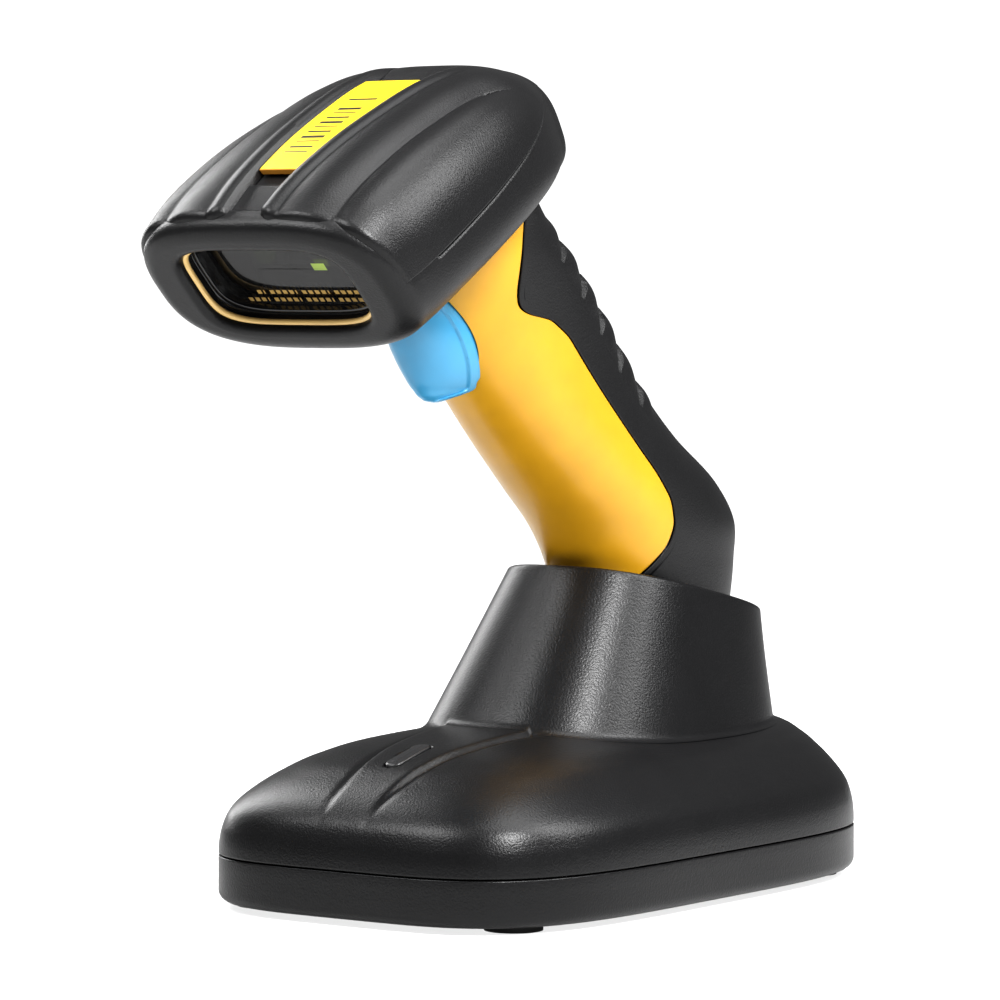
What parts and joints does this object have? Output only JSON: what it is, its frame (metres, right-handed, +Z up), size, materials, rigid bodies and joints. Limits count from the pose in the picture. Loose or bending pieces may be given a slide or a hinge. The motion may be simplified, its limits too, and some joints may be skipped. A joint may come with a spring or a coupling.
{
  "type": "cordless handheld barcode scanner with charging cradle",
  "caption": "Cordless pistol-grip barcode scanner with a pull trigger, standing in a charging cradle with a tapered collar and a page button.",
  "frame": {"origin": "centre of the cradle's footprint, on the surface it stands on", "axes": "+Z up, the scanner looks towards -Y, X = 0 is the plane of symmetry"},
  "size_m": [0.1097, 0.2081, 0.2027],
  "materials": {
    "black_soft_touch": "fine grained soft-touch",
    "black_satin": "satin with a fine grain",
    "amber_plastic": "smooth satin gloss",
    "blue_plastic": "smooth satin gloss",
    "yellow_label": "glossy enamel",
    "gold_seal": "satin",
    "dark_glass": "polished red-dark filter",
    "clear_lens": "polished",
    "black_rubber": "matt",
    "circuit_board": "solder mask",
    "component_black": "moulded epoxy",
    "steel": "zinc plated",
    "spring_steel": "drawn wire",
    "gold_contact": "gold plated",
    "cell_wrap": "shrink sleeve",
    "white_plastic": "matt",
    "lamp": "clear epoxy",
    "flex_amber": "polyimide film"
  },
  "bodies": {
    "cradle": {"cradle_tray": "black_satin", "cradle_upper_shell": "black_satin", "handle_cup": "black_satin", "rubber_feet": "black_rubber", "cradle_screws": "steel", "contact_block": "component_black", "contact_springs": "spring_steel", "contact_board": "circuit_board", "cradle_board": "circuit_board", "board_standoffs": "white_plastic", "power_socket": "steel", "ballast_plate": "steel", "radio_module": "steel", "contact_ribbon": "flex_amber", "page_switch": "component_black"},
    "contact_pins": {"contact_plungers": "gold_contact"},
    "page_button": {"page_button": "black_satin"},
    "scanner": {"head_cover": "black_soft_touch", "head_bumper": "black_soft_touch", "label_plate": "yellow_label", "head_screws": "steel", "window_seal": "gold_seal", "window_bezel": "component_black", "scan_window": "dark_glass", "scan_engine": "component_black", "lens_barrel": "component_black", "scan_lens": "clear_lens", "flash_leds": "lamp", "aimer_led": "lamp", "engine_bracket": "steel", "main_board": "circuit_board", "board_chips": "component_black", "buzzer": "component_black", "engine_flex": "flex_amber", "grip_front_shell": "amber_plastic", "neck_collar": "yellow_label", "grip_back_shell": "black_soft_touch", "battery_door": "black_soft_touch", "charge_pads": "gold_contact", "charge_board": "circuit_board", "battery_cell": "cell_wrap", "battery_holder": "component_black", "trigger_pin": "steel", "trigger_spring": "spring_steel", "switch_bracket": "steel", "trigger_switch": "component_black"},
    "trigger": {"trigger": "blue_plastic"},
    "switch_plunger": {"switch_plunger": "white_plastic"}
  },
  "joints": [
    {"name": "scanner_lift", "type": "slide", "parent": "cradle", "child": "scanner", "axis": [0, 0, 1], "range_m": [0, 0.06]},
    {"name": "trigger_pull", "type": "hinge", "parent": "scanner", "child": "trigger", "pos_m": [0, -0.037, 0.1525], "axis": [1, 0, 0], "range_deg": [0, 6], "stiffness_Nm_per_rad": 0.4, "springref_deg": -8.02, "deforming": ["trigger_spring"]},
    {"name": "plunger_push", "type": "slide", "parent": "scanner", "child": "switch_plunger", "axis": [0, 1, 0], "range_m": [0, 0.001]},
    {"name": "contact_pins_press", "type": "slide", "parent": "cradle", "child": "contact_pins", "axis": [0, 0, 1], "range_m": [-0.001, 0], "stiffness_N_per_m": 1200, "springref_m": 0.002, "deforming": ["contact_springs"]},
    {"name": "page_button_press", "type": "slide", "parent": "cradle", "child": "page_button", "axis": [0, 0, 1], "range_m": [-0.0008, 0], "stiffness_N_per_m": 500, "springref_m": 0.0015}
  ],
  "couplings": [
    {"joint": "plunger_push", "follows": "trigger_pull", "m_per_rad": 0.0085}
  ]
}
